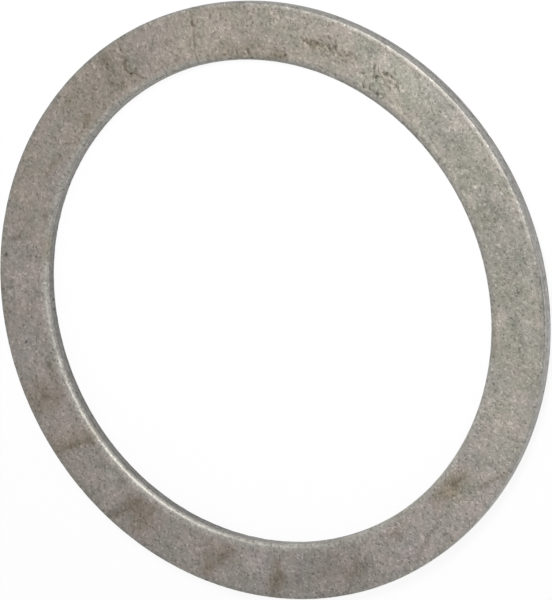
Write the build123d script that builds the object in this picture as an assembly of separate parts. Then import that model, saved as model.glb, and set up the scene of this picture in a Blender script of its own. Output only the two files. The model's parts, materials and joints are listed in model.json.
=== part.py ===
from build123d import *

import math
import os

# A shim ring: one thin flat steel ring that takes up the axial play beside a bearing.
# It is blanked from sheet in one stroke, and both of its edges keep the section that shearing
# leaves. From the front face down to the back face each edge has
#   a roll, where the sheet was drawn in before it began to shear,
#   a land, the burnished upright wall that has the edge's true radius,
#   a fracture, the rough wall below the land, which leans back from it,
#   a break, the small bevel that tumbling left where the burr was.
# The ring lies on its back face, centred on +Z, with the rolled front face up.
# All sizes are in millimetres.

# The shaft that the ring goes on, the gap it leaves round that shaft, and the ring's own sizes.
SHAFT_DIAMETER = 50.0
SHAFT_GAP = 0.075
RING_WIDTH = 5.85
THICKNESS = 1.6

# How far each roll reaches in over the front face, and how far down the wall.
RIM_ROLL_WIDTH = 0.48
RIM_ROLL_DEPTH = 0.23
BORE_ROLL_WIDTH = 1.00
BORE_ROLL_DEPTH = 0.49

# A roll turns tightly beside the wall, on this share of its depth, and then eases on to the face.
TIGHT_SHARE = 0.92

# The fracture's height, how far its foot stands back from the land, and the bevel below it.
FRACTURE_HEIGHT = 0.32
FRACTURE_LEAN = 0.05
BREAK = 0.09

BORE_RADIUS = SHAFT_DIAMETER / 2 + SHAFT_GAP
RIM_RADIUS = BORE_RADIUS + RING_WIDTH


def roll_joint(width, depth):
    """Where a roll's tight arc meets its easy one, as a step in from the land and up from its top.

    Both arcs share a tangent there, and the easy one runs out level with the front face.
    """
    tight = TIGHT_SHARE * depth
    easy = (width**2 + depth**2 - 2 * width * tight) / (2 * (depth - tight))
    turn = math.acos((width - tight) / (easy - tight))
    return tight * (1 - math.cos(turn)), tight * math.sin(turn)


def sheared_edge(land_radius, into_metal, roll_width, roll_depth):
    """Draws one edge of the section, and returns its ends on the back and the front face.

    into_metal is the way from the wall into the ring: -1 at the rim and 1 at the bore.
    """
    foot_radius = land_radius + into_metal * FRACTURE_LEAN
    back_end = (foot_radius + into_metal * BREAK, 0)
    front_end = (land_radius + into_metal * roll_width, THICKNESS)
    land_top = (land_radius, THICKNESS - roll_depth)
    step_in, step_up = roll_joint(roll_width, roll_depth)
    joint = (land_radius + into_metal * step_in, land_top[1] + step_up)

    Polyline(
        back_end,
        (foot_radius, BREAK),
        (land_radius, BREAK + FRACTURE_HEIGHT),
        land_top,
    )
    TangentArc(land_top, joint, tangent=(0, 1))
    TangentArc(front_end, joint, tangent=(-into_metal, 0))
    return back_end, front_end


def ring_section():
    """The closed section of the ring, upright beside the axis."""
    with BuildSketch(Plane.XZ) as section:
        with BuildLine():
            rim_back, rim_front = sheared_edge(RIM_RADIUS, -1, RIM_ROLL_WIDTH, RIM_ROLL_DEPTH)
            bore_back, bore_front = sheared_edge(BORE_RADIUS, 1, BORE_ROLL_WIDTH, BORE_ROLL_DEPTH)
            Line(rim_back, bore_back)
            Line(rim_front, bore_front)
        make_face()
    return section.sketch


def shim_ring():
    """The whole ring: its section turned once round the axis."""
    return revolve(ring_section(), Axis.Z)


os.makedirs("parts", exist_ok=True)
export_step(shim_ring(), "parts/shim_ring.step")
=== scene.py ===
"""A worn steel shim ring, lying flat on a white floor and seen from above at a slant.

The ring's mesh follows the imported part's section and adds what use and tumbling left on it: torn
fracture zones, small dents on the rolled corners, pits, cracks and stains. Lengths in the ring's
own code are in millimetres and angles in degrees; the mesh is turned into metres at the end.
"""

import json
import math

import bpy
import numpy as np
from mathutils import Matrix, Vector


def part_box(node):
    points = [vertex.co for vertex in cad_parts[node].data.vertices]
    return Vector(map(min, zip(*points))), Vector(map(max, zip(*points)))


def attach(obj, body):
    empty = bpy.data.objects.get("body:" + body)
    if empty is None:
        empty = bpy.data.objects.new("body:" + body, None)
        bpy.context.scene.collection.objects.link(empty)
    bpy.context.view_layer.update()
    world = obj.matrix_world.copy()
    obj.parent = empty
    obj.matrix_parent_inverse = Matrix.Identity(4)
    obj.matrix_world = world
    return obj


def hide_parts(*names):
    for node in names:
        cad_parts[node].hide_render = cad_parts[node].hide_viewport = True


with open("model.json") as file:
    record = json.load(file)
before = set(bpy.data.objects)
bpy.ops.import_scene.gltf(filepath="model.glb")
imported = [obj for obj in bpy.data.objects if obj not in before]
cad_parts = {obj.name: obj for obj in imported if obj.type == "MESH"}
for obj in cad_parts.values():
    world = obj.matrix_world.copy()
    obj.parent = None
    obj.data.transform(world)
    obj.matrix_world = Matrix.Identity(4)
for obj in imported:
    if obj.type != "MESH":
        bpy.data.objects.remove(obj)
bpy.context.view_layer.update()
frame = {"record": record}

MM = 0.001
NODE = "shim_ring"

# The ring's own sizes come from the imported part, so that the mesh stays inside it.
low_corner, high_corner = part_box(NODE)
RIM_RADIUS = min(high_corner[0], high_corner[1], -low_corner[0], -low_corner[1]) / MM
THICKNESS = (high_corner[2] - low_corner[2]) / MM
BORE_RADIUS = next(m["dims"]["r_mm"] for m in frame["record"]["mounts"] if m["name"] == "bore")

# The sheared edges: roll at the front corner, fracture and bevel at the back corner.
RIM_ROLL = (0.48, 0.23)
BORE_ROLL = (1.00, 0.49)
TIGHT_SHARE = 0.92
FRACTURE_HEIGHT = 0.32
FRACTURE_LEAN = 0.05
BREAK = 0.09

# How finely the mesh is cut: steps round the ring, and steps along each stretch of the section.
AROUND = 1308
FRONT_STEPS = 30
ROLL_STEPS = (6, 5)
LAND_STEPS = 6
FRACTURE_STEPS = 3
BREAK_STEPS = 1
BACK_STEPS = 4

# Every random draw starts from this number, or from one a little above it.
SEED = 52

# The wear: how many marks are scattered at random, how deep each kind goes, and how far in from
# rim and bore the dents lie.
RIM_DENTS = 210
BORE_DENTS = 180
RIM_DENT_INSET = 0.16
BORE_DENT_INSET = 0.18
DENT_DEPTHS = (0.004, 0.014)
FRONT_PITS = 620
BACK_PITS = 300
PIT_DEPTH = 0.010
DEEP_PIT_DEPTH = 0.03
SPOT_DEPTH = 0.02
SPECKS = 420
SCRATCHES = 260
SCRATCH_WIDTH = 0.15
SCRATCH_DEPTH = 0.015
NICK_DEPTH = 0.05
NICK_HEIGHT = 0.45
COARSE_TEAR = 0.018
FINE_TEAR = 0.010
BROAD_WAVE = 0.012
SMALL_WAVE = 0.006

# The borders of cracks, streaks and scratches wander by a coarse and a fine amount, and by no more
# than this reach in all.
RAGGED_COARSE = 0.14
RAGGED_FINE = 0.06
RAGGED_REACH = 0.3


# The section of the ring

def spread(start, end, steps):
    """Evenly spaced points from start up to, but not including, end."""
    share = np.arange(steps)[:, None] / steps
    return np.asarray(start) * (1 - share) + np.asarray(end) * share


def arc(centre, radius, start, end, steps):
    """Points on an arc about centre, from the angle start up to, but not including, end."""
    angle = np.radians(start + (end - start) * np.arange(steps) / steps)
    return np.stack([centre[0] + radius * np.cos(angle), centre[1] + radius * np.sin(angle)], 1)


def edge_section(land_radius, into_metal, roll_size):
    """One sheared edge from the front face down to the back face, as named stretches of points."""
    width, depth = roll_size
    tight = TIGHT_SHARE * depth
    easy = (width**2 + depth**2 - 2 * width * tight) / (2 * (depth - tight))
    turn = math.degrees(math.acos((width - tight) / (easy - tight)))
    land_top = THICKNESS - depth
    roll_end = land_radius + into_metal * width
    tight_centre = (land_radius + into_metal * tight, land_top)
    easy_centre = (roll_end, THICKNESS - easy)
    fracture_top = (land_radius, BREAK + FRACTURE_HEIGHT)
    foot = (land_radius + into_metal * FRACTURE_LEAN, BREAK)
    back_end = (foot[0] + into_metal * BREAK, 0.0)
    outward = 0.0 if into_metal < 0 else 180.0
    joint = outward + (turn if into_metal < 0 else -turn)
    tight_steps, easy_steps = ROLL_STEPS
    roll = [
        arc(easy_centre, easy, 90.0, joint, easy_steps),
        arc(tight_centre, tight, joint, outward, tight_steps),
    ]
    return [
        ("roll", np.concatenate(roll)),
        ("land", spread((land_radius, land_top), fracture_top, LAND_STEPS)),
        ("fracture", spread(fracture_top, foot, FRACTURE_STEPS)),
        ("break", spread(foot, back_end, BREAK_STEPS)),
    ], (roll_end, THICKNESS), back_end


def ring_section():
    """The closed section as points (radius, height), and the name of each point's stretch."""
    rim, rim_front, rim_back = edge_section(RIM_RADIUS, -1, RIM_ROLL)
    bore, bore_front, bore_back = edge_section(BORE_RADIUS, 1, BORE_ROLL)
    stretches = [("front", spread(bore_front, rim_front, FRONT_STEPS))]
    stretches += [("rim " + name, points) for name, points in rim]
    stretches.append(("back", spread(rim_back, bore_back, BACK_STEPS)))
    # The bore's edge is met from the back face upwards, so each stretch is turned round.
    ends = [points[0] for _, points in bore[1:]] + [np.array(bore_back)]
    for (name, points), end in reversed(list(zip(bore, ends))):
        stretches.append(("bore " + name, np.concatenate([[end], points[:0:-1]])))
    names = np.concatenate([[name] * len(points) for name, points in stretches])
    return np.concatenate([points for _, points in stretches]), names


def section_normals(points):
    """The outward normal at each point of the closed section."""
    along = np.roll(points, -1, axis=0) - np.roll(points, 1, axis=0)
    normal = np.stack([along[:, 1], -along[:, 0]], 1)
    normal /= np.linalg.norm(normal, axis=1, keepdims=True)
    centre = points.mean(axis=0)
    outward = np.sign(np.sum(normal * (points - centre), axis=1).sum())
    return normal * outward


# Smooth noise on the mesh

def eased(share):
    """Turns an even share from 0 to 1 into one that starts and ends gently."""
    return share * share * (3 - 2 * share)


def between_knots(knots, u, v, i, j, after):
    """Blends the knots round the places u, v: those in column i with those in the column after."""
    a, b = eased(u - np.floor(u)), eased(v - np.floor(v))
    left = knots[i, j] * (1 - b) + knots[i, j + 1] * b
    right = knots[after, j] * (1 - b) + knots[after, j + 1] * b
    return left * (1 - a) + right * a


def lattice_noise(u, v, size, seed):
    """Smooth noise about -1 to 1 at the places u, v, with features about as wide as size."""
    rng = np.random.default_rng(seed)
    u = u / size
    v = v / size
    low_u, low_v = int(np.floor(u.min())), int(np.floor(v.min()))
    wide, tall = int(np.ceil(u.max())) - low_u + 2, int(np.ceil(v.max())) - low_v + 2
    knots = rng.uniform(-1, 1, (wide, tall))
    i, j = np.floor(u).astype(int) - low_u, np.floor(v).astype(int) - low_v
    return between_knots(knots, u, v, i, j, i + 1)


def round_noise(angle, across, cells, size, seed):
    """Smooth noise that closes on itself round the ring: cells round it, size across it."""
    rng = np.random.default_rng(seed)
    u = (angle / 360.0) * cells
    v = across / size
    low = int(np.floor(v.min()))
    knots = rng.uniform(-1, 1, (cells, int(np.ceil(v.max())) - low + 2))
    i, j = np.floor(u).astype(int) % cells, np.floor(v).astype(int) - low
    return between_knots(knots, u, v, i, j, (i + 1) % cells)


def bump_shape(distance, width):
    """1 at no distance, falling smoothly to 0 at width."""
    return eased(np.clip(1 - distance / width, 0, 1))


def turn_from(middle, angle):
    """How far round the ring an angle is from middle, from -180 to 180 degrees."""
    return (angle - middle + 180) % 360 - 180


def hump(angle, middle, reach):
    """1 at middle, falling smoothly to 0 at reach on either side of it round the ring."""
    return bump_shape(np.abs(turn_from(middle, angle)), reach)


def humps(angle, tones):
    """The sum of some tones, each over its own stretch of the ring."""
    return sum(tone * hump(angle, middle, reach) for tone, middle, reach in tones)


# What is painted on the mesh, for the material. The tone is a lightness, and 0.5 is its middle;
# besides the sheet's specks, scratches and lighter and darker stretches, it carries painted highlights
# and painted shade on the corners, the walls and the face beside the rim. Grey and green are how far
# the sheet's warm colour has turned that way, brown is a thin film of rust and stain a darker one.
# Clean is bare metal, inner the bore's side.
PAINTS = ("tone", "grey", "green", "brown", "stain", "dirt", "clean", "wall", "inner")


class Grid:
    """The ring's points, one row round it for each point of the section, and what is on them."""

    def __init__(self):
        self.section, self.stretch = ring_section()
        normal = section_normals(self.section)
        rows = len(self.section)
        self.angle = np.tile(np.arange(AROUND) * 360.0 / AROUND, (rows, 1))
        self.radius = np.tile(self.section[:, :1], (1, AROUND))
        self.height = np.tile(self.section[:, 1:], (1, AROUND))
        cos, sin = np.cos(np.radians(self.angle)), np.sin(np.radians(self.angle))
        self.x, self.y = self.radius * cos, self.radius * sin
        self.normal = np.stack([normal[:, :1] * cos, normal[:, :1] * sin, normal[:, 1:] + 0 * cos], 2)
        self.upward = normal[:, 1:]
        self.sunk = np.zeros((rows, AROUND))
        self.paint = {name: np.zeros((rows, AROUND)) for name in PAINTS}
        self.paint["tone"] += 0.5
        # Two ragged shifts, which give every stroke an uneven border.
        self.shift_x = self.ragged_shift(SEED + 7)
        self.shift_y = self.ragged_shift(SEED + 8)

    def ragged_shift(self, seed):
        """Uneven shifts with features from 0.3 to 0.7 mm wide."""
        coarse = lattice_noise(self.x, self.y, 0.7, seed)
        fine = lattice_noise(self.x, self.y, 0.3, seed + 10)
        return RAGGED_COARSE * coarse + RAGGED_FINE * fine

    def on(self, *words):
        """1 on the rows whose stretch has any of the words in its name, as a column."""
        found = [any(word in name for word in words) for name in self.stretch]
        return np.array(found, float)[:, None]

    def sink(self, depth):
        """Presses the surface in by depth, in millimetres."""
        self.sunk = self.sunk + depth

    def add(self, name, amount, columns=slice(None)):
        """Adds to a painted amount, which stays between 0 and 1."""
        layer = self.paint[name]
        layer[:, columns] = np.clip(layer[:, columns] + amount, 0, 1)

    def near(self, angle, radius, reach):
        """The columns that lie within reach of a place on the face."""
        span = math.degrees(reach / radius)
        step = 360.0 / AROUND
        first, last = math.floor((angle - span) / step), math.ceil((angle + span) / step)
        return np.arange(first, last + 1) % AROUND


def polar(angle, radius):
    """A place on the ring's face in x and y."""
    return np.array([radius * math.cos(math.radians(angle)), radius * math.sin(math.radians(angle))])


def as_polar(x, y):
    """The (angle, radius) of a place on the ring's face."""
    return math.degrees(math.atan2(y, x)) % 360, math.hypot(x, y)


def distance_to_path(x, y, path):
    """The distance from each place to the nearest part of a path of points."""
    best = np.full(x.shape, np.inf)
    for a, b in zip(path[:-1], path[1:]):
        run = b - a
        share = ((x - a[0]) * run[0] + (y - a[1]) * run[1]) / max(run @ run, 1e-9)
        share = np.clip(share, 0, 1)
        best = np.minimum(best, np.hypot(x - a[0] - share * run[0], y - a[1] - share * run[1]))
    return best


# Marks that the photograph shows on the front face, placed by (angle, radius) round the ring.
# Cracks and scratches: path, width, depth, dirt, brown.
CRACKS = [
    ([(309.4, 28.0), (311.2, 28.15), (312.3, 27.85), (313.5, 27.6)], 0.16, 0.02, 0.22, 0.5),
    ([(313.5, 27.6), (314.5, 27.8), (315.3, 28.2), (316.2, 27.8)], 0.15, 0.03, 0.50, 0.4),
    ([(316.2, 27.8), (317.0, 28.1), (317.8, 27.75), (319.0, 27.95)], 0.15, 0.03, 0.44, 0.4),
    ([(319.0, 27.95), (320.1, 27.6), (321.5, 27.75), (322.6, 28.0)], 0.20, 0.03, 0.28, 0.4),
    ([(346.9, 30.6), (347.1, 29.8)], 0.15, 0.01, 0.34, 0.2),
    ([(347.1, 29.5), (347.2, 29.1)], 0.20, 0.03, 0.62, 0.3),
    ([(347.25, 29.1), (347.7, 28.3), (348.2, 27.0), (348.4, 25.7)], 0.17, 0.02, 0.42, 0.3),
    ([(348.6, 28.6), (349.2, 27.4), (349.1, 26.2)], 0.14, 0.01, 0.18, 0.2),
    ([(4.2, 30.6), (4.5, 29.8), (4.9, 28.7)], 0.16, 0.02, 0.42, 0.3),
    ([(4.6, 28.6), (5.3, 28.5), (5.9, 27.9), (5.5, 27.3), (5.0, 27.0)], 0.25, 0.03, 0.52, 0.4),
    ([(5.0, 27.1), (4.0, 26.7), (2.2, 25.9)], 0.17, 0.02, 0.38, 0.3),
    ([(49.6, 29.4), (49.1, 28.4), (50.2, 27.3)], 0.24, 0.01, 0.22, 0.0),
    ([(54.4, 29.7), (53.9, 29.3), (53.0, 28.8)], 0.24, 0.02, 0.38, 0.3),
    ([(56.7, 27.6), (56.3, 26.0)], 0.17, 0.02, 0.36, 0.2),
    ([(187.6, 30.2), (190.0, 29.4), (192.6, 28.8), (195.5, 28.3), (198.4, 27.9)], 0.40, 0.01, 0.24, 0.0),
    ([(221.2, 30.3), (221.0, 29.2)], 0.18, 0.01, 0.25, 0.0),
]
# Brown streaks: path, width, stain, brown.
STREAKS = [
    ([(99.2, 30.6), (99.6, 29.6), (100.0, 28.6)], 0.30, 0.38, 0.2),
    ([(100.0, 28.6), (100.8, 27.3), (101.5, 26.5), (102.2, 25.9)], 0.46, 0.46, 0.3),
    ([(97.8, 30.0), (98.8, 28.4), (99.8, 27.0), (100.6, 26.0)], 1.30, 0.12, 0.50),
    ([(116.2, 30.5), (117.2, 29.2), (118.4, 27.8), (119.4, 26.7)], 0.75, 0.34, 0.3),
    ([(139.0, 30.0), (141.6, 28.6), (143.4, 27.2), (144.6, 26.6)], 0.80, 0.20, 0.3),
    ([(141.8, 28.4), (142.6, 27.8), (143.6, 27.0)], 0.40, 0.16, 0.0),
    ([(154.2, 30.2), (155.2, 29.3), (156.2, 28.4), (155.6, 27.2)], 0.80, 0.30, 0.3),
    ([(214.5, 30.5), (212.0, 29.8), (209.0, 29.0)], 0.26, 0.36, 0.3),
    ([(32.0, 26.7), (34.5, 27.1), (37.0, 27.6)], 0.45, 0.16, 0.4),
    ([(326.0, 25.8), (333.0, 25.55), (340.0, 25.6), (345.0, 25.8)], 0.40, 0.10, 0.5),
    ([(236.5, 25.75), (247.5, 25.6)], 0.28, 0.20, 0.4),
]
# Broader patches: angle, radius, length round the ring, length across it, lean, painted amounts.
# The patches with only a tone make broad stretches of the face lighter or darker.
PATCHES = [
    (8.6, 29.5, 1.2, 1.6, 0.0, {"stain": 0.42, "brown": 0.2}),
    (10.4, 27.7, 0.7, 1.4, 0.0, {"stain": 0.22}),
    (8.4, 26.5, 1.3, 1.1, 0.0, {"stain": 0.18, "brown": 0.5}),
    (20.6, 29.3, 1.6, 0.9, 0.0, {"brown": 0.6, "stain": 0.12}),
    (21.0, 26.5, 1.7, 1.3, -0.4, {"stain": 0.34, "brown": 0.6}),
    (8.0, 28.0, 12.0, 5.0, 0.0, {"tone": -0.07, "brown": 0.12}),
    (42.5, 26.4, 0.9, 0.7, 0.0, {"stain": 0.25}),
    (47.0, 25.9, 1.4, 0.9, 0.0, {"stain": 0.3, "brown": 0.3}),
    (53.3, 25.30, 3.6, 0.9, 0.0, {"brown": 1.0, "stain": 0.08}),
    (28.0, 28.4, 8.0, 4.0, 0.0, {"green": 0.3}),
    (62.0, 28.4, 8.0, 4.4, 0.0, {"tone": 0.04}),
    (77.0, 28.0, 4.0, 4.0, 0.0, {"grey": 0.5}),
    (82.0, 26.6, 1.6, 1.7, 0.0, {"stain": 0.42, "green": 0.6}),
    (88.6, 28.4, 4.4, 4.8, 0.0, {"brown": 0.80, "tone": -0.02}),
    (88.6, 28.5, 1.8, 3.4, 0.0, {"stain": 0.30}),
    (98.0, 28.0, 19.0, 5.0, 0.0, {"tone": 0.075}),
    (95.0, 29.0, 3.0, 3.0, 0.0, {"brown": 0.15}),
    (110.6, 27.5, 2.4, 3.0, -0.3, {"tone": 0.05, "grey": 0.5}),
    (121.6, 27.9, 4.6, 3.6, -0.3, {"stain": 0.24, "brown": 0.80}),
    (122.8, 29.6, 2.2, 1.6, -0.3, {"brown": 0.60}),
    (126.6, 29.7, 1.8, 1.4, 0.0, {"tone": -0.06, "grey": 0.3}),
    (141.0, 28.0, 19.0, 5.2, 0.0, {"tone": 0.04}),
    (139.8, 29.4, 1.8, 1.6, 0.0, {"brown": 0.75}),
    (141.2, 27.4, 4.6, 3.0, -0.3, {"stain": 0.14, "brown": 0.75}),
    (147.1, 28.6, 1.1, 1.5, 0.0, {"tone": -0.07}),
    (149.0, 27.4, 4.0, 2.4, 0.0, {"tone": 0.11}),
    (155.4, 28.8, 2.4, 3.6, 0.0, {"brown": 0.75, "stain": 0.08}),
    (160.6, 28.2, 1.1, 2.6, 0.0, {"tone": -0.20}),
    (168.5, 28.2, 11.0, 5.4, 0.0, {"tone": -0.17}),
    (174.0, 28.6, 3.2, 2.2, -0.4, {"tone": -0.12, "green": 0.5, "brown": 0.5}),
    (183.0, 28.0, 4.0, 5.0, 0.0, {"tone": 0.04}),
    (186.6, 26.7, 1.7, 1.2, 0.4, {"stain": 0.25, "brown": 0.5}),
    (189.0, 28.8, 7.0, 3.4, 0.3, {"grey": 0.6, "tone": -0.03}),
    (198.0, 28.4, 9.0, 5.0, 0.0, {"tone": 0.09}),
    (202.2, 26.6, 4.4, 1.8, 0.2, {"stain": 0.22, "brown": 0.75}),
    (207.2, 26.9, 2.8, 1.6, 0.2, {"stain": 0.36, "brown": 0.6}),
    (205.0, 27.6, 5.4, 3.0, 0.3, {"green": 0.6, "grey": -0.6, "brown": 0.3}),
    (207.0, 29.6, 6.0, 2.4, 0.0, {"tone": 0.04}),
    (223.0, 28.0, 13.0, 5.0, 0.0, {"tone": 0.13}),
    (235.5, 28.4, 5.0, 5.0, 0.0, {"green": -0.5}),
    (264.0, 28.0, 19.0, 5.2, 0.0, {"tone": -0.13}),
    (301.0, 28.4, 7.5, 5.0, 0.0, {"tone": 0.13}),
    (303.0, 27.6, 3.2, 2.4, 0.0, {"tone": -0.03, "brown": 0.15}),
    (316.0, 27.8, 7.0, 1.8, 0.0, {"brown": 0.25, "grey": -0.4}),
    (320.2, 27.75, 1.8, 0.9, 0.0, {"stain": 0.14, "brown": 0.4}),
    (328.0, 26.0, 2.6, 1.2, 0.0, {"stain": 0.16, "brown": 0.4}),
    (336.0, 26.2, 8.0, 1.6, 0.0, {"stain": 0.10, "brown": 0.35}),
    (347.0, 28.0, 10.0, 5.0, 0.0, {"tone": 0.09}),
    (30.0, 28.0, 8.0, 5.0, 0.0, {"tone": 0.03}),
]
# Round dark spots: angle, radius, width, dirt.
DARK_SPOTS = [
    (57.5, 30.15, 0.40, 0.85), (75.8, 28.6, 0.28, 0.85), (82.0, 26.6, 0.34, 0.25),
    (21.5, 26.6, 0.30, 0.25), (326.0, 26.0, 0.30, 0.85), (331.5, 25.9, 0.24, 0.40),
    (344.2, 26.1, 0.24, 0.40), (279.8, 30.35, 0.20, 0.85), (259.5, 27.85, 0.25, 0.60),
    (95.7, 26.2, 0.28, 0.55), (108.3, 26.8, 0.20, 0.40), (197.6, 28.0, 0.30, 0.30),
    (320.6, 27.7, 0.26, 0.30), (316.9, 28.0, 0.18, 0.35), (18.6, 25.35, 0.24, 0.55),
    (292.0, 27.7, 0.20, 0.35), (291.0, 26.6, 0.20, 0.35), (268.0, 27.0, 0.16, 0.35),
    (140.0, 30.8, 0.24, 0.80), (1.5, 27.3, 0.20, 0.40), (90.7, 27.2, 0.20, 0.40),
    (194.3, 26.9, 0.20, 0.45), (189.0, 29.0, 0.26, 0.25), (5.0, 29.9, 0.16, 0.30),
]
# Round bright specks: angle, radius.
BRIGHT_SPOTS = [
    (98.0, 28.3), (98.05, 28.6), (131.8, 28.6), (23.0, 29.95), (29.2, 27.6), (11.4, 30.0),
    (65.2, 29.8), (170.4, 25.6), (245.0, 29.0), (259.2, 28.2), (273.6, 27.5), (273.8, 27.3),
]
# Faint round marks, as if something small had stood there: angle, radius, size.
ROUND_MARKS = [(312.4, 26.75, 0.55), (328.2, 29.65, 0.34), (254.0, 27.4, 0.70)]
# Places where the front face is scored by short dashes: angle, radius, length round, across, dashes.
DASHED = [(302.9, 27.75, 3.0, 1.2, 20), (303.4, 26.2, 3.2, 0.3, 9), (317.5, 28.6, 3.0, 0.9, 8)]
# Places where it is pitted: angle, radius, length round, across, pits.
PITTED = [
    (316.0, 27.7, 5.6, 1.4, 30), (336.0, 26.2, 5.0, 0.9, 24), (7.0, 27.8, 5.0, 3.4, 36),
    (27.0, 27.6, 9.0, 3.6, 30), (303.0, 27.0, 4.0, 2.4, 16),
]
# Bands that run lengthwise on the walls and their corners, partly shear lines and partly painted light
# and painted shade: edge, height, width, tone, and the middle and reach of the stretch round the ring
# that they take.
WALL_LINES = [
    ("rim", 0.62, 0.42, 0.24, 247, 26), ("rim", 1.37, 0.20, 0.20, 247, 24),
    ("rim", 1.55, 0.09, -0.42, 249, 18), ("rim", 0.66, 0.22, -0.30, 297, 36),
    ("rim", 1.20, 0.20, 0.18, 292, 44), ("rim", 0.05, 0.14, -0.35, 290, 70),
    ("rim", 0.32, 0.22, 0.14, 292, 44), ("bore", 0.62, 0.12, -0.22, 142, 36),
    ("bore", 0.85, 0.60, 0.16, 36, 26), ("bore", 0.34, 0.18, -0.22, 100, 60),
    ("bore", 0.70, 0.24, 0.12, 100, 60), ("bore", 0.95, 0.16, -0.05, 100, 60),
    ("bore", 0.80, 0.18, 0.16, 155, 32), ("bore", 0.50, 0.18, 0.20, 162, 24),
    ("bore", 0.70, 0.90, 0.36, 161, 26),
]
# Dark nicks on the walls: edge, angle, height, length, dirt.
WALL_NICKS = [
    ("rim", 316.75, 0.75, 0.30, 0.60), ("rim", 307.0, 0.60, 0.30, 0.35),
    ("rim", 289.1, 0.55, 0.60, 0.45), ("rim", 285.5, 0.30, 0.40, 0.40),
    ("rim", 280.8, 0.20, 0.30, 0.60), ("rim", 275.25, 0.30, 0.30, 0.70),
    ("rim", 216.7, 0.60, 0.30, 0.50), ("rim", 346.5, 0.90, 0.30, 0.50),
    ("bore", 37.7, 0.35, 0.38, 1.00), ("bore", 49.1, 0.30, 0.28, 0.85),
    ("bore", 53.2, 0.35, 0.20, 0.60), ("bore", 67.0, 0.50, 0.28, 0.70),
    ("bore", 69.3, 0.60, 0.24, 0.75), ("bore", 18.75, 0.70, 0.22, 0.50),
    ("bore", 138.2, 0.60, 0.26, 0.45),
]
# Painted light and shade: where the corners, and the face beside the rim, are painted lighter than
# the lamp alone makes them, as painted highlights where they turn towards the lamp, and darker, as
# painted shade where they turn away from it: tone, and the middle and reach of the stretch round
# the ring.
RIM_ROLL_PAINTED_LIGHT_AND_SHADE = [(0.10, 262, 22), (-0.11, 110, 150)]
STEEP_RIM_PAINTED_SHADE = [(-0.16, 90, 120)]
BESIDE_RIM_PAINTED_SHADE = [(-0.07, 110, 120)]
BESIDE_RIM_SHADE_WIDTH = 2.2
BORE_ROLL_PAINTED_LIGHT = 0.02
BORE_ROLL_PAINTED_LIGHT_AND_SHADE = [(0.17, 119, 40), (0.06, 78, 24), (-0.04, 38, 22)]
STEEP_BORE_PAINTED_SHADE = [(-0.12, 290, 100)]
# Where round the ring the sheet is greyest and greenest, and the middle and reach of the stretch
# where the fracture's dark upper line is faint.
GREY_SIDE = 140
GREEN_SIDE = 268
FAINT_TEAR = (247, 26)


def drift_colour(grid):
    """The sheet's colour drifts round the ring, from warm to grey to green, and the face is made lighter
    and darker round it.
    """
    angle = np.radians(grid.angle)
    wander = 0.30 * lattice_noise(grid.x, grid.y, 5.0, SEED + 20)
    grid.add("grey", np.clip(0.5 + 0.5 * np.cos(angle - math.radians(GREY_SIDE)) + wander, 0, 1))
    grid.add("green", np.clip(1.6 * np.cos(angle - math.radians(GREEN_SIDE)) - 0.5 - wander, 0, 1))
    # A broad lightness that rises and falls round the ring.
    grid.add("tone", -0.05 * np.cos(angle) + 0.01 * np.sin(angle) + 0.06 * np.sin(2 * angle))


def paint_stretches(grid):
    """Marks walls and corners that tumbling rubbed bare; paints highlights and shade by the edges."""
    grid.add("wall", grid.on("land", "fracture", "break"))
    grid.add("wall", grid.on("roll") * np.clip((0.50 - grid.upward) / 0.50, 0, 1))
    grid.add("inner", grid.on("bore"))
    grid.add("clean", grid.on("roll") * np.clip((1 - grid.upward) / 0.008, 0, 1))
    # Painted highlights on the corners where they turn towards the lamp, and painted shade on the
    # corners, their steep parts and the face beside the rim where they turn away from it.
    beside_rim_shade = grid.on("front") * bump_shape(RIM_RADIUS - grid.radius, BESIDE_RIM_SHADE_WIDTH)
    steep = np.clip((0.97 - grid.upward) / 0.1, 0, 1)
    rim, bore = grid.on("rim roll"), grid.on("bore roll")
    grid.add("tone", rim * humps(grid.angle, RIM_ROLL_PAINTED_LIGHT_AND_SHADE))
    grid.add("tone", beside_rim_shade * humps(grid.angle, BESIDE_RIM_PAINTED_SHADE))
    grid.add("tone", bore * (BORE_ROLL_PAINTED_LIGHT + humps(grid.angle, BORE_ROLL_PAINTED_LIGHT_AND_SHADE)))
    grid.add("tone", rim * steep * humps(grid.angle, STEEP_RIM_PAINTED_SHADE))
    grid.add("tone", bore * steep * humps(grid.angle, STEEP_BORE_PAINTED_SHADE))


def line_walls(grid):
    """Fine shear lines along both walls, and broader bands, partly shear lines and partly painted light
    and shade.
    """
    fine = round_noise(grid.angle, grid.height, 60, 0.14, SEED + 1)
    fine = fine + 0.6 * round_noise(grid.angle, grid.height, 400, 0.20, SEED + 21)
    grid.add("tone", 0.065 * grid.on("land", "fracture", "break") * fine)
    wander = 0.06 * round_noise(grid.angle, 0 * grid.height, 48, 1.0, SEED + 23)
    # The listed bands, partly shear lines and partly painted light and painted shade.
    for edge, height, width, tone, middle, reach in WALL_LINES:
        line = bump_shape(np.abs(grid.height + min(1, 3 * width) * wander - height), width)
        walls = grid.on(edge + " roll", edge + " land", edge + " fracture", edge + " break")
        grid.add("tone", tone * line * walls * hump(grid.angle, middle, reach))


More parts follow.
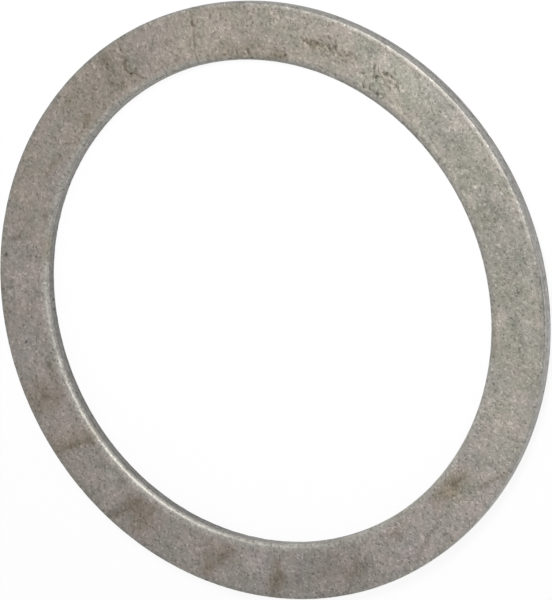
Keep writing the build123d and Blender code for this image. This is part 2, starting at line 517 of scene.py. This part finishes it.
def tear_fracture(grid):
    """Roughens the fracture, and lets its dark upper line wander."""
    coarse = round_noise(grid.angle, grid.height, 240, 0.3, SEED + 2)
    fine = round_noise(grid.angle, grid.height, 720, 0.12, SEED + 3)
    grid.sink(grid.on("fracture") * (COARSE_TEAR * (1 + coarse) + FINE_TEAR * (1 + fine)))
    wander = round_noise(grid.angle, 0 * grid.height, 150, 1.0, SEED + 4)
    top = BREAK + FRACTURE_HEIGHT + 0.06 * wander
    line = bump_shape(np.abs(grid.height - top), 0.14) * grid.on("land", "fracture")
    strength = np.clip(0.6 + 0.8 * round_noise(grid.angle, 0 * line, 70, 1.0, SEED + 22), 0, 1)
    strength = strength * (1 - 0.8 * hump(grid.angle, *FAINT_TEAR))
    grid.add("dirt", 0.34 * line * strength)
    grid.add("dirt", 0.40 * grid.on("break") * np.clip(0.5 + coarse, 0, 1))


def press(grid, angle, radius, width, depth, **paint):
    """Presses one round dent in the surface, and paints it."""
    columns = grid.near(angle, radius, width)
    place = polar(angle, radius)
    away = np.hypot(grid.x[:, columns] - place[0], grid.y[:, columns] - place[1])
    shape = bump_shape(away, width)
    grid.sunk[:, columns] += depth * shape
    for name, amount in paint.items():
        grid.add(name, amount * shape, columns)


def stroke(grid, path, width, depth, **paint):
    """Scores the surface along a path of (angle, radius), with ragged sides, and paints it."""
    middle, radius = path[len(path) // 2]
    reach = max(abs(angle - middle) for angle, _ in path) * math.radians(radius) + width
    columns = grid.near(middle, radius, reach + RAGGED_REACH)
    x = grid.x[:, columns] + grid.shift_x[:, columns]
    y = grid.y[:, columns] + grid.shift_y[:, columns]
    shape = bump_shape(distance_to_path(x, y, [polar(*point) for point in path]), width)
    grid.sunk[:, columns] += depth * shape
    for name, amount in paint.items():
        grid.add(name, amount * shape, columns)


def dent_rolls(grid):
    """The small flats and dents that tumbling beat into the rolled corners."""
    rng = np.random.default_rng(SEED + 5)
    corner = grid.on("roll", "front")
    rows = ((RIM_RADIUS - RIM_DENT_INSET, RIM_DENTS), (BORE_RADIUS + BORE_DENT_INSET, BORE_DENTS))
    for radius, count in rows:
        for angle in rng.uniform(0, 360, count):
            depth = rng.uniform(*DENT_DEPTHS)
            press(grid, angle, radius + rng.normal(0, 0.12), rng.uniform(0.2, 0.55), depth * corner)


def pit_faces(grid):
    """Fine pits and bright specks on the faces, and the places where the front is pitted more."""
    rng = np.random.default_rng(SEED + 6)
    front, back = grid.on("front", "roll"), grid.on("back")
    for face, count in ((front, FRONT_PITS), (back, BACK_PITS)):
        for _ in range(count):
            radius = rng.uniform(BORE_RADIUS + 0.5, RIM_RADIUS - 0.5)
            dark = rng.uniform(0.05, 0.40) ** 1.2 * face
            angle = rng.uniform(0, 360)
            press(grid, angle, radius, rng.uniform(0.12, 0.26), PIT_DEPTH * face, dirt=dark)
    for _ in range(SPECKS):
        radius = rng.uniform(BORE_RADIUS + 0.4, RIM_RADIUS - 0.4)
        light = rng.uniform(0.05, 0.22) * front
        press(grid, rng.uniform(0, 360), radius, rng.uniform(0.12, 0.22), 0, tone=light)
    for angle, radius in BRIGHT_SPOTS:
        press(grid, angle, radius, 0.30, 0, tone=0.50 * front)
    for angle, radius, length, across, count in PITTED:
        for _ in range(count):
            spot = angle + math.degrees(rng.normal(0, length / 3) / radius)
            out = radius + rng.normal(0, across / 3)
            dark = rng.uniform(0.15, 0.45) * front
            width = rng.uniform(0.14, 0.28)
            press(grid, spot, out, width, DEEP_PIT_DEPTH * front, dirt=dark, brown=dark)


def hairline(grid, rng, place, length, **paint):
    """A short straight scratch at a place, in any direction, unless it would cross angle 0."""
    turn = rng.uniform(0, math.pi)
    half = 0.5 * length * np.array([math.cos(turn), math.sin(turn)])
    ends = [as_polar(*(place - half)), as_polar(*(place + half))]
    if abs(ends[0][0] - ends[1][0]) < 180:
        stroke(grid, ends, SCRATCH_WIDTH, SCRATCH_DEPTH * grid.on("front", "roll"), **paint)


def score_face(grid):
    """The cracks, scratches, spots and short dashes on the front face."""
    rng = np.random.default_rng(SEED + 9)
    front = grid.on("front", "roll")
    for path, width, depth, dark, brown in CRACKS:
        stroke(grid, path, width, depth * front, dirt=dark * front)
        stroke(grid, path, 2.0 * width, 0, brown=brown * front)
    for angle, radius, width, dark in DARK_SPOTS:
        press(grid, angle, radius, width, SPOT_DEPTH * front, dirt=dark * front)
    for angle, radius, size in ROUND_MARKS:
        middle = polar(angle, radius)
        turns = np.radians(np.arange(0, 331, 30))
        path = [as_polar(middle[0] + size * np.cos(t), middle[1] + size * np.sin(t)) for t in turns]
        stroke(grid, path, 0.18, 0.01 * front, dirt=0.14 * front, brown=0.3 * front)
    for angle, radius, length, across, count in DASHED:
        for number in range(count):
            along = (number + rng.uniform(0.2, 0.8)) / count - 0.5
            out = radius + rng.uniform(-0.5, 0.5) * across
            place = polar(angle + math.degrees(along * length / radius), out)
            dark = rng.uniform(0.35, 0.70) * front
            hairline(grid, rng, place, rng.uniform(0.25, 0.5), dirt=dark, brown=0.5 * dark)


def scratch_face(grid):
    """Fine scratches all over both faces, some light and some dark."""
    rng = np.random.default_rng(SEED + 15)
    faces = grid.on("front", "back", "roll")
    for _ in range(SCRATCHES):
        place = polar(rng.uniform(0, 360), rng.uniform(BORE_RADIUS + 0.6, RIM_RADIUS - 0.6))
        hairline(grid, rng, place, rng.uniform(0.4, 1.6), tone=rng.normal(0, 0.07) * faces)


def stain_face(grid):
    """The brown streaks and patches on the front face, and broad lighter and darker patches, with soft
    uneven borders.
    """
    front = grid.on("front", "roll")
    for path, width, stain, brown in STREAKS:
        stroke(grid, path, width, 0, stain=stain * front)
        stroke(grid, path, 1.6 * width, 0, brown=brown * front)
    ragged = lattice_noise(grid.x, grid.y, 1.1, SEED + 10)
    ragged = ragged + 0.6 * lattice_noise(grid.x, grid.y, 0.45, SEED + 11)
    for angle, radius, length, across, lean, paint in PATCHES:
        out = grid.radius - radius
        along = np.radians(turn_from(angle, grid.angle)) * radius - lean * out
        away = np.hypot(along / (length / 2), out / (across / 2)) + 0.30 * ragged
        shape = bump_shape(away, 1.5) * front
        for name, amount in paint.items():
            grid.add(name, amount * shape)


def nick_walls(grid):
    """Small dark nicks on both walls, most of them in the lower half."""
    for edge, angle, height, length, dark in WALL_NICKS:
        along = np.radians(turn_from(angle, grid.angle)) * RIM_RADIUS
        away = np.hypot(along / length, (grid.height - height) / NICK_HEIGHT)
        shape = bump_shape(away, 1.0) * grid.on(edge + " land", edge + " fracture", edge + " break")
        grid.sink(NICK_DEPTH * shape)
        grid.add("dirt", dark * shape)


def wave_faces(grid):
    """The slight unevenness of rolled sheet, too shallow to see except as shade."""
    broad = 0.5 + 0.5 * lattice_noise(grid.x, grid.y, 1.6, SEED + 13)
    small = 0.5 + 0.5 * lattice_noise(grid.x, grid.y, 0.6, SEED + 14)
    grid.sink(grid.on("front") * (BROAD_WAVE * broad + SMALL_WAVE * small))


def worn_ring():
    """All of the ring's points with their wear."""
    grid = Grid()
    drift_colour(grid)
    paint_stretches(grid)
    line_walls(grid)
    tear_fracture(grid)
    dent_rolls(grid)
    wave_faces(grid)
    pit_faces(grid)
    stain_face(grid)
    scratch_face(grid)
    score_face(grid)
    nick_walls(grid)
    return grid


def ring_mesh(grid):
    """The closed mesh of the ring, in metres, with its painted amounts and its unrolled map."""
    rows = len(grid.section)
    points = np.stack([grid.x, grid.y, grid.height], 2) - grid.normal * grid.sunk[:, :, None]
    index = np.arange(rows * AROUND).reshape(rows, AROUND)
    next_row, next_column = np.roll(index, -1, axis=0), np.roll(index, -1, axis=1)
    across = np.roll(next_row, -1, axis=1)
    quads = np.stack([index, next_row, across, next_column], 2).reshape(-1, 4)

    mesh = bpy.data.meshes.new("steel_ring")
    mesh.vertices.add(rows * AROUND)
    mesh.vertices.foreach_set("co", (points * MM).astype(np.float32).ravel())
    mesh.loops.add(quads.size)
    mesh.loops.foreach_set("vertex_index", quads.astype(np.int32).ravel())
    mesh.polygons.add(len(quads))
    mesh.polygons.foreach_set("loop_start", np.arange(0, quads.size, 4, dtype=np.int32))
    mesh.polygons.foreach_set("use_smooth", np.ones(len(quads), dtype=bool))
    mesh.update(calc_edges=True)
    mesh.validate()
    for name, amount in grid.paint.items():
        layer = mesh.attributes.new(name, "FLOAT", "POINT")
        layer.data.foreach_set("value", amount.astype(np.float32).ravel())
    unroll(mesh, rows)
    mesh.set_sharp_from_angle(angle=math.radians(40))
    return mesh


STRIPS = 4
MAP_EDGE = 0.004


def unroll(mesh, rows):
    """Maps the surface flat: the ring is cut into strips, which lie one above the other."""
    column = np.tile(np.arange(AROUND), rows)
    row = np.repeat(np.arange(rows), AROUND)
    per_strip = AROUND // STRIPS
    strip = column // per_strip
    left = (column % per_strip) / per_strip
    step = 1 / per_strip
    low, high = row / rows, (row + 1) / rows
    width, height = 1 - 2 * MAP_EDGE, 1 / STRIPS - 2 * MAP_EDGE
    corners = [(left, low), (left, high), (left + step, high), (left + step, low)]
    places = [
        np.stack([MAP_EDGE + u * width, strip / STRIPS + MAP_EDGE + v * height], 1)
        for u, v in corners
    ]
    layer = mesh.uv_layers.new(name="OFBake")
    layer.uv.foreach_set("vector", np.stack(places, 1).astype(np.float32).ravel())


# Materials

class Nodes:
    """Short ways to add nodes to a material."""

    def __init__(self, tree):
        self.tree = tree
        tree.nodes.clear()

    def add(self, kind, **settings):
        """Adds a node of a kind, with its settings."""
        node = self.tree.nodes.new(kind)
        for name, value in settings.items():
            setattr(node, name, value)
        return node

    def feed(self, socket, value):
        """Sets a socket to a value, or links it to another socket."""
        if isinstance(value, bpy.types.NodeSocket):
            self.tree.links.new(value, socket)
        else:
            socket.default_value = value

    def math(self, operation, a, b=0.0, c=None, clamp=False):
        """Reckons with up to three numbers."""
        node = self.add("ShaderNodeMath", operation=operation, use_clamp=clamp)
        for socket, value in zip(node.inputs, (a, b, c)):
            if value is not None:
                self.feed(socket, value)
        return node.outputs[0]

    def mix(self, share, a, b, blend="MIX"):
        """Mixes two colours."""
        node = self.add("ShaderNodeMix", data_type="RGBA", blend_type=blend, clamp_factor=True)
        colours = [s for s in node.inputs if s.type == "RGBA"]
        self.feed(node.inputs["Factor"], share)
        self.feed(colours[0], a)
        self.feed(colours[1], b)
        return next(s for s in node.outputs if s.type == "RGBA")

    def scaled(self, colour, factor):
        """A colour made lighter or darker by a factor."""
        node = self.add("ShaderNodeVectorMath", operation="SCALE")
        self.feed(node.inputs[0], colour)
        self.feed(node.inputs["Scale"], factor)
        return node.outputs[0]

    def paint(self, name):
        """An amount that is painted on the mesh."""
        return self.add("ShaderNodeAttribute", attribute_name=name).outputs["Fac"]

    def noise(self, vector, scale, detail=2.0, roughness=0.5, distortion=0.0):
        """Smooth noise at a place, from 0 to 1."""
        node = self.add("ShaderNodeTexNoise")
        self.feed(node.inputs["Vector"], vector)
        self.feed(node.inputs["Scale"], scale)
        self.feed(node.inputs["Detail"], detail)
        self.feed(node.inputs["Roughness"], roughness)
        self.feed(node.inputs["Distortion"], distortion)
        return node.outputs["Fac"]

    def stretch(self, value, low, high, to_low=0.0, to_high=1.0):
        """Maps low to high on to another range, and holds it there."""
        node = self.add("ShaderNodeMapRange", clamp=True)
        for socket, number in zip(node.inputs, (value, low, high, to_low, to_high)):
            self.feed(socket, number)
        return node.outputs[0]


# The sheet's three colours, the bare metal of its corners, and its walls; the bore's wall is darker,
# partly as painted shade.
WARM_SHEET = (0.447, 0.400, 0.346, 1)
GREY_SHEET = (0.439, 0.402, 0.372, 1)
GREEN_SHEET = (0.428, 0.407, 0.355, 1)
BARE_METAL = (0.440, 0.424, 0.388, 1)
RIM_WALL = (0.34, 0.332, 0.315, 1)
BORE_WALL_WITH_SHADE = (0.215, 0.210, 0.200, 1)
# A full brown film, a full stain and full dirt leave this much of each colour.
BROWN = (0.87, 0.825, 0.745, 1)
STAIN = (0.46, 0.44, 0.37, 1)
DIRT = (0.18, 0.17, 0.15, 1)
# How much lighter and darker the grain, the broad mottling and the specks make the sheet.
GRAIN = 1.25
MOTTLE = 0.16
FLECK = 0.34
# How far the mottling turns the colour to pink and to green, and to brown and to blue, and how
# far the grain's dark side and its light side turn it.
PINK, GREENISH = (1.025, 0.988, 1.0, 1), (0.975, 1.012, 1.0, 1)
BROWNISH, BLUISH = (1.006, 1.0, 0.985, 1), (0.994, 1.0, 1.015, 1)
GRAIN_DARK, GRAIN_LIGHT = (1.02, 1.0, 0.96, 1), (0.98, 1.0, 1.04, 1)
# How many of each pattern's broadest features fit in a millimetre.
GRAIN_SCALE = 0.45
GRAIN_STRENGTH_SCALE = 0.5
MOTTLE_SCALE = 0.16
PINK_SCALE = 0.45
BROWN_SCALE = 0.26
STAIN_SCALE = 1.6
SPECK_SCALE = 4.6
# How rough the steel is where the grain is low and where it is high, and what rubbed corners and
# dirt add to that.
ROUGHNESS = (0.45, 0.53)
CORNER_ROUGHNESS = 0.07
DIRT_ROUGHNESS = 0.2
# The finest relief is only shaded: its strength, and its height in metres.
RELIEF_STRENGTH = 0.6
RELIEF_HEIGHT = 0.00004


def sheet_colour(n, mm):
    """The colour of the bare sheet, with its drift from warm to grey to green and its mottling."""
    colour = n.mix(n.paint("grey"), WARM_SHEET, GREY_SHEET)
    colour = n.mix(n.paint("green"), colour, GREEN_SHEET)
    pink = n.stretch(n.noise(mm, PINK_SCALE, detail=2.0, roughness=0.6), 0.32, 0.68)
    brown = n.stretch(n.noise(mm, BROWN_SCALE, detail=2.0, roughness=0.6), 0.32, 0.68)
    colour = n.mix(1.0, colour, n.mix(pink, GREENISH, PINK), blend="MULTIPLY")
    return n.mix(1.0, colour, n.mix(brown, BLUISH, BROWNISH), blend="MULTIPLY")


def film(n, colour, amount, leaves):
    """A colour under a film, where a full amount lets through only a share of it."""
    return n.mix(1.0, colour, n.mix(amount, (1, 1, 1, 1), leaves), blend="MULTIPLY")


def worn_colour(n, mm):
    """The steel's colour with its rubbed corners, its walls, brown film, stains and dirt; the bore's
    wall is darker, partly painted shade.
    """
    colour = n.mix(n.paint("clean"), sheet_colour(n, mm), BARE_METAL)
    # The bore's wall takes a darker colour than the rim's, partly painted shade.
    wall = n.mix(n.paint("inner"), RIM_WALL, BORE_WALL_WITH_SHADE)
    colour = n.mix(n.paint("wall"), colour, wall)
    colour = film(n, colour, n.paint("brown"), BROWN)
    patchy = n.stretch(n.noise(mm, STAIN_SCALE, detail=4.0, roughness=0.7), 0.35, 0.65, 0.65, 1.25)
    colour = film(n, colour, n.math("MULTIPLY", n.paint("stain"), patchy), STAIN)
    return film(n, colour, n.paint("dirt"), DIRT)


def speckle(n, mm):
    """A random amount for each small cell of the surface."""
    cells = n.add("ShaderNodeTexVoronoi")
    n.feed(cells.inputs["Vector"], mm)
    n.feed(cells.inputs["Scale"], SPECK_SCALE)
    parts = n.add("ShaderNodeSeparateColor")
    n.feed(parts.inputs[0], cells.outputs["Color"])
    return parts.outputs[0]


def lightness(n, mm, grain, specks):
    """How much the grain, the mottling, the painted tone with its painted light and shade, and the
    specks lighten the steel.
    """
    # The grain is strong in some places and faint in others, and stronger where the sheet is green.
    uneven = n.noise(mm, GRAIN_STRENGTH_SCALE, detail=2.0)
    strength = n.stretch(uneven, 0.35, 0.65, 0.55 * GRAIN, 1.35 * GRAIN)
    strength = n.math("MULTIPLY", strength, n.math("MULTIPLY_ADD", n.paint("green"), 0.15, 0.93))
    shade = n.math("MULTIPLY_ADD", n.math("SUBTRACT", grain, 0.5), strength, 1.0)
    broad = n.noise(mm, MOTTLE_SCALE, detail=3.0, roughness=0.75, distortion=0.5)
    shade = n.math("MULTIPLY", shade, n.stretch(broad, 0.0, 1.0, 1 - MOTTLE / 2, 1 + MOTTLE / 2))
    # The painted tone: the sheet's own lighter and darker marks, and the painted highlights and painted
    # shade of corners and walls.
    shade = n.math("MULTIPLY", shade, n.math("ADD", n.paint("tone"), 0.5))
    fleck = n.math("POWER", specks, 7.0)
    pore = n.math("POWER", n.math("SUBTRACT", 1.0, specks), 7.0)
    flecks = n.math("MULTIPLY_ADD", n.math("SUBTRACT", fleck, pore), FLECK, 1.0)
    return n.math("MULTIPLY", shade, flecks)


def steel(name):
    """Dull tumbled steel with grain, mottling, stains, dirt and rubbed corners."""
    material = bpy.data.materials.new(name)
    material.use_nodes = True
    n = Nodes(material.node_tree)
    mm = n.scaled(n.add("ShaderNodeTexCoord").outputs["Object"], 1 / MM)
    grain = n.noise(mm, GRAIN_SCALE, detail=5.0, roughness=0.95)
    specks = speckle(n, mm)

    # The grain's dark side is a little warmer than its light side.
    grain_colour = n.mix(grain, GRAIN_DARK, GRAIN_LIGHT)
    colour = n.mix(1.0, worn_colour(n, mm), grain_colour, blend="MULTIPLY")
    colour = n.scaled(colour, lightness(n, mm, grain, specks))

    rough = n.stretch(grain, 0.25, 0.75, *ROUGHNESS)
    rough = n.math("ADD", rough, n.math("MULTIPLY", n.paint("clean"), CORNER_ROUGHNESS))
    dirt_rough = n.math("MULTIPLY", n.paint("dirt"), DIRT_ROUGHNESS)
    rough = n.math("ADD", rough, dirt_rough, clamp=True)

    relief = n.add("ShaderNodeBump")
    n.feed(relief.inputs["Strength"], RELIEF_STRENGTH)
    n.feed(relief.inputs["Distance"], RELIEF_HEIGHT)
    n.feed(relief.inputs["Height"], n.math("ADD", grain, n.math("MULTIPLY", specks, 0.5)))

    shader = n.add("ShaderNodeBsdfPrincipled")
    n.feed(shader.inputs["Base Color"], colour)
    n.feed(shader.inputs["Metallic"], 1.0)
    n.feed(shader.inputs["Roughness"], rough)
    n.feed(shader.inputs["Normal"], relief.outputs[0])
    output = n.add("ShaderNodeOutputMaterial")
    n.feed(output.inputs["Surface"], shader.outputs[0])
    return material


FLOOR_GLOW = 0.90
FLOOR_COLOUR = 0.10


def white_floor(name):
    """A white floor with a faint shadow. Its glow shows to the camera and in reflections only."""
    material = bpy.data.materials.new(name)
    material.use_nodes = True
    n = Nodes(material.node_tree)
    path = n.add("ShaderNodeLightPath")
    seen = n.math("MAXIMUM", path.outputs["Is Camera Ray"], path.outputs["Is Glossy Ray"])
    seen = n.math("MAXIMUM", seen, path.outputs["Is Transmission Ray"])
    glow = n.add("ShaderNodeEmission")
    n.feed(glow.inputs["Strength"], n.math("MULTIPLY", seen, FLOOR_GLOW))
    matte = n.add("ShaderNodeBsdfDiffuse")
    n.feed(matte.inputs["Color"], (FLOOR_COLOUR, FLOOR_COLOUR, FLOOR_COLOUR, 1))
    both = n.add("ShaderNodeAddShader")
    n.feed(both.inputs[0], glow.outputs[0])
    n.feed(both.inputs[1], matte.outputs[0])
    output = n.add("ShaderNodeOutputMaterial")
    n.feed(output.inputs["Surface"], both.outputs[0])
    return material


# The objects

def link(thing):
    """Puts an object in the scene."""
    bpy.context.scene.collection.objects.link(thing)
    return thing


def make_ring():
    """The worn ring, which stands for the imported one."""
    mesh = ring_mesh(worn_ring())
    mesh.materials.append(steel("dull_steel"))
    ring = link(bpy.data.objects.new("steel_ring", mesh))
    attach(ring, "root")
    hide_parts(NODE)
    return ring


FLOOR_SIZE = 8.0
FLOOR_GAP = 0.00001


def make_floor():
    """A wide square just under the ring."""
    half = FLOOR_SIZE / 2
    mesh = bpy.data.meshes.new("floor")
    sides = ((-half, -half), (half, -half), (half, half), (-half, half))
    mesh.from_pydata([(x, y, -FLOOR_GAP) for x, y in sides], [], [(0, 1, 2, 3)])
    mesh.materials.append(white_floor("white_floor"))
    floor = link(bpy.data.objects.new("floor", mesh))


KEY_AT = Vector((0.045, -0.040, 0.106))
KEY_SIZE = 0.05
KEY_POWER = 0.088


def make_lamp():
    """One soft lamp close to the ring, on the side that is up in the picture."""
    light = bpy.data.lights.new("key", "AREA")
    light.shape = "DISK"
    light.size = KEY_SIZE
    light.energy = KEY_POWER
    lamp = link(bpy.data.objects.new("key", light))
    lamp.location = KEY_AT
    lamp.rotation_euler = (-KEY_AT).to_track_quat("-Z", "Y").to_euler()
    lamp.visible_camera = False


SKY_LIGHT = 0.55


def make_world():
    """An even white sky."""
    world = bpy.data.worlds.new("studio")
    bpy.context.scene.world = world
    world.use_nodes = True
    n = Nodes(world.node_tree)
    background = n.add("ShaderNodeBackground")
    n.feed(background.inputs["Color"], (1, 1, 1, 1))
    n.feed(background.inputs["Strength"], SKY_LIGHT)
    output = n.add("ShaderNodeOutputWorld")
    n.feed(output.inputs["Surface"], background.outputs[0])


# The photograph's view: the ring's axis leans from the line of sight by TILT, towards LEAN in the
# picture, counted from the right anticlockwise. FACE_AT is where the middle of the front face
# stands in the picture, right and up of its middle, and DISTANCE how far off it is.
TILT = 29.531
LEAN = 204.869
FACE_AT = (-1.512, -0.617)
DISTANCE = 325.6
LENS = 192.9


def make_camera():
    """The camera, placed so that it sees the ring as the photograph does."""
    tilt, lean = math.radians(TILT), math.radians(LEAN)
    axis = Vector((math.sin(tilt) * math.cos(lean), math.sin(tilt) * math.sin(lean), math.cos(tilt)))
    # The ring's own axes as the camera sees them. The camera stands on the ring's -Y side.
    ring_y = -(Vector((0, 0, 1)) - math.cos(tilt) * axis) / math.sin(tilt)
    ring_x = ring_y.cross(axis)
    to_camera = Matrix((ring_x, ring_y, axis))
    face = Vector((*FACE_AT, -DISTANCE)) * MM
    camera = bpy.data.cameras.new("camera")
    camera.lens = LENS
    camera.sensor_width = 36.0
    camera.clip_start = 0.01
    camera.clip_end = 20.0
    eye = link(bpy.data.objects.new("camera", camera))
    front_middle = Vector((0, 0, THICKNESS * MM))
    eye.matrix_world = Matrix.Translation(front_middle - to_camera @ face) @ to_camera.to_4x4()
    bpy.context.scene.camera = eye


make_camera()
make_ring()
make_floor()
make_lamp()
make_world()
bpy.context.scene.view_settings.view_transform = "Standard"
